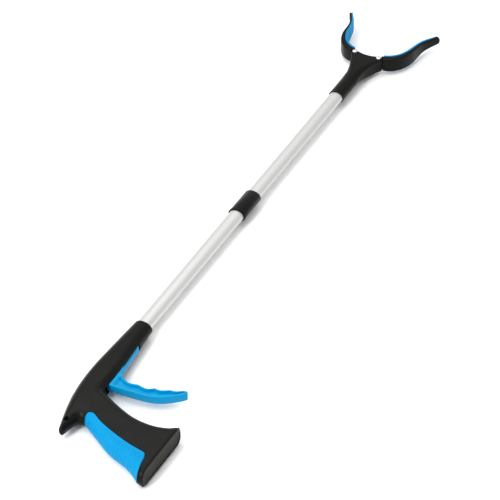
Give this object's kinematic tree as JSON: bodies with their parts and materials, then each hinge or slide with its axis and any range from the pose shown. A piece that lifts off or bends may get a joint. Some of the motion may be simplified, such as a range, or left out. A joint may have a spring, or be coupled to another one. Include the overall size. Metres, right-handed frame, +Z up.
{
  "type": "reacher grabber",
  "caption": "Long-reach pick-up tool: a pistol handle with a trigger, a slim oval two-piece shaft and a pair of curved pivoting jaws with soft linings.",
  "frame": {"origin": "centre of the bounding box in X and Y, at the lowest point in Z, with the tool lying on its side", "axes": "+X along the shaft from the handle to the jaws, +Y towards the back of the hand so that the grip hangs towards -Y, +Z up through the thickness of the tool"},
  "size_m": [0.8398, 0.1772, 0.0254],
  "materials": {
    "black_plastic": "satin",
    "blue_plastic": "satin",
    "blue_rubber": "matte",
    "white_plastic": "satin",
    "tube_aluminium": "satin anodised",
    "steel": "bright"
  },
  "bodies": {
    "frame": {"handle_shell_right": "black_plastic", "handle_shell_left": "black_plastic", "grip_pad": "blue_rubber", "base_cap": "black_plastic", "handle_screw_1": "steel", "handle_screw_2": "steel", "handle_screw_3": "steel", "handle_screw_4": "steel", "handle_screw_5": "steel", "trigger_pin": "steel", "tube_pin_rear": "steel", "lower_tube": "tube_aluminium", "upper_tube": "tube_aluminium", "mid_collar": "black_plastic", "coupling_sleeve": "black_plastic", "rod_guide_lower": "white_plastic", "rod_guide_upper": "white_plastic", "tube_pin_front": "steel", "head_shell_top": "black_plastic", "head_shell_bottom": "black_plastic", "spring_washer": "steel", "return_spring": "steel", "pivot_rivet_left": "steel", "pivot_rivet_right": "steel"},
    "trigger_body": {"trigger": "blue_plastic"},
    "pull_body": {"cam_pin": "steel", "rod_end": "white_plastic", "pull_rod": "steel", "yoke": "white_plastic"},
    "jaw_left_body": {"jaw_left": "black_plastic", "jaw_pad_left": "blue_rubber", "jaw_peg_left": "steel"},
    "jaw_right_body": {"jaw_right": "black_plastic", "jaw_pad_right": "blue_rubber", "jaw_peg_right": "steel"}
  },
  "joints": [
    {"name": "trigger_pull", "type": "hinge", "parent": "frame", "child": "trigger_body", "pos_m": [-0.2399, 0.02086, 0.01268], "axis": [0, 0, -1], "range_deg": [0, 20]},
    {"name": "rod_pull", "type": "slide", "parent": "frame", "child": "pull_body", "axis": [-1, 0, 0], "range_m": [0, 0.00701], "deforming": ["return_spring"]},
    {"name": "jaw_left_close", "type": "hinge", "parent": "frame", "child": "jaw_left_body", "pos_m": [0.3458, 0.04616, 0.01268], "axis": [0, 0, -1], "range_deg": [0, 37.65]},
    {"name": "jaw_right_close", "type": "hinge", "parent": "frame", "child": "jaw_right_body", "pos_m": [0.3458, 0.01556, 0.01268], "axis": [0, 0, 1], "range_deg": [0, 37.65]}
  ],
  "couplings": [
    {"joint": "rod_pull", "follows": "trigger_pull", "m_per_rad": 0.020053},
    {"joint": "jaw_left_close", "follows": "trigger_pull", "ratio": 1.88},
    {"joint": "jaw_right_close", "follows": "trigger_pull", "ratio": 1.88}
  ]
}
